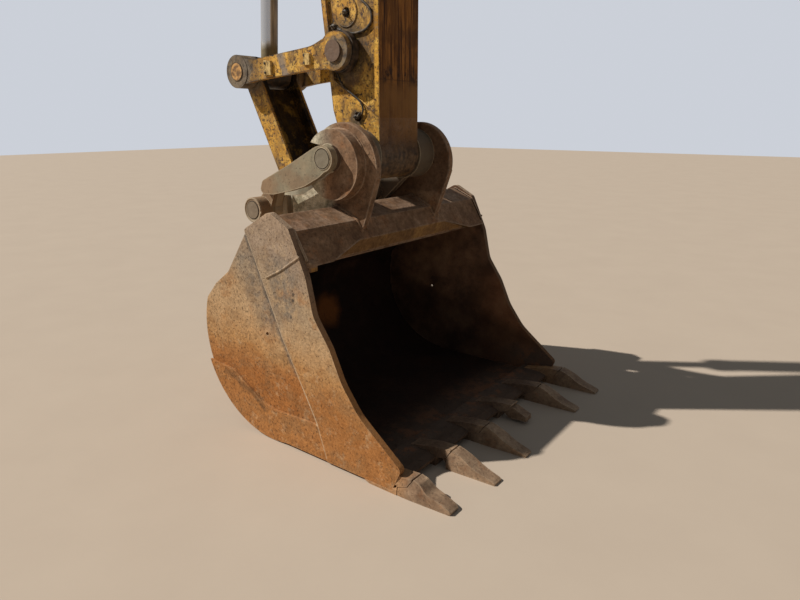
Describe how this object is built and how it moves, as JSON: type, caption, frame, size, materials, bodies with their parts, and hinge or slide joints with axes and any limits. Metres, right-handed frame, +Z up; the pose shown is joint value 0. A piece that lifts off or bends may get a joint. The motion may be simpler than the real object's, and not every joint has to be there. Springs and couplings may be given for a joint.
{
  "type": "excavator dipper arm with bucket",
  "caption": "Dipper arm of a crawler excavator with its bucket cylinder, idlers and link, quick coupler and toothed bucket, which curls about the stick pin.",
  "frame": {"origin": "middle of the boom pin's bore, at the top of the dipper arm", "axes": "+Z up as the arm hangs, +X towards the machine, which the bucket's mouth faces, +Y along the pins"},
  "size_m": [1.9749, 1.608, 5.467],
  "materials": {
    "yellow_paint": "worn, chipped",
    "polished_rust": "rusted, rubbed",
    "greasy_steel": "greasy",
    "chrome": "polished",
    "coupler_paint": "worn matt",
    "bucket_steel": "rusted",
    "tooth_steel": "worn, dusty",
    "fitting_metal": "dusty",
    "hose_rubber": "dusty"
  },
  "bodies": {
    "stick": {"stick_side_left": "yellow_paint", "stick_side_right": "yellow_paint", "stick_belly": "polished_rust", "stick_back": "yellow_paint", "stick_nose": "yellow_paint", "boom_boss": "yellow_paint", "idler_boss": "greasy_steel", "stick_ears": "yellow_paint", "cylinder_bracket": "yellow_paint", "bracket_pin": "greasy_steel", "grease_fittings": "fitting_metal", "grease_hoses": "hose_rubber"},
    "idlers": {"idler_left": "yellow_paint", "idler_right": "yellow_paint", "idler_pin": "greasy_steel", "rod_end_pin": "greasy_steel"},
    "link": {"bucket_link": "yellow_paint", "link_core_pin": "greasy_steel"},
    "cylinder_barrel": {"barrel": "yellow_paint", "barrel_eye": "yellow_paint", "gland": "greasy_steel", "cylinder_pipe": "yellow_paint"},
    "cylinder_rod": {"rod": "chrome", "rod_eye": "greasy_steel", "rod_core_pin": "greasy_steel"},
    "bucket": {"coupler_frame": "coupler_paint", "coupler_collars": "coupler_paint", "coupler_stubs": "greasy_steel", "coupler_arm_left": "coupler_paint", "coupler_arm_right": "coupler_paint", "stick_pin": "greasy_steel", "link_pin": "greasy_steel", "hinge_plate_left": "bucket_steel", "hinge_plate_right": "bucket_steel", "hook_discs": "bucket_steel", "torque_tube": "bucket_steel", "shell": "bucket_steel", "side_plate_left": "bucket_steel", "side_plate_right": "bucket_steel", "side_doubler_left": "bucket_steel", "side_doubler_right": "bucket_steel", "heel_plates": "bucket_steel", "lip": "bucket_steel", "tooth_adapters": "tooth_steel", "tooth_points": "tooth_steel"}
  },
  "joints": [
    {"name": "bucket_curl", "type": "hinge", "parent": "stick", "child": "bucket", "pos_m": [0.15, 0, -3.2], "axis": [0, -1, 0], "range_deg": [-60, 95]},
    {"name": "idler_swing", "type": "hinge", "parent": "stick", "child": "idlers", "pos_m": [0.038, 0, -2.69], "axis": [0, -1, 0], "range_deg": [-46, 72]},
    {"name": "link_swing", "type": "hinge", "parent": "idlers", "child": "link", "pos_m": [-0.71113, 0, -2.75565], "axis": [0, -1, 0], "range_deg": [-38, 25]},
    {"name": "barrel_swing", "type": "hinge", "parent": "stick", "child": "cylinder_barrel", "pos_m": [-0.497, 0, -0.15], "axis": [0, -1, 0], "range_deg": [-6, 8]},
    {"name": "rod_slide", "type": "slide", "parent": "cylinder_barrel", "child": "cylinder_rod", "axis": [-0.0819, 0, -0.9966], "range_m": [-0.5, 0.79]}
  ],
  "couplings": [
    {"joint": "idler_swing", "follows": "bucket_curl", "ratio": 0.7418},
    {"joint": "link_swing", "follows": "bucket_curl", "ratio": -0.3854},
    {"joint": "barrel_swing", "follows": "bucket_curl", "ratio": 0.0666},
    {"joint": "rod_slide", "follows": "bucket_curl", "m_per_rad": 0.4699}
  ]
}
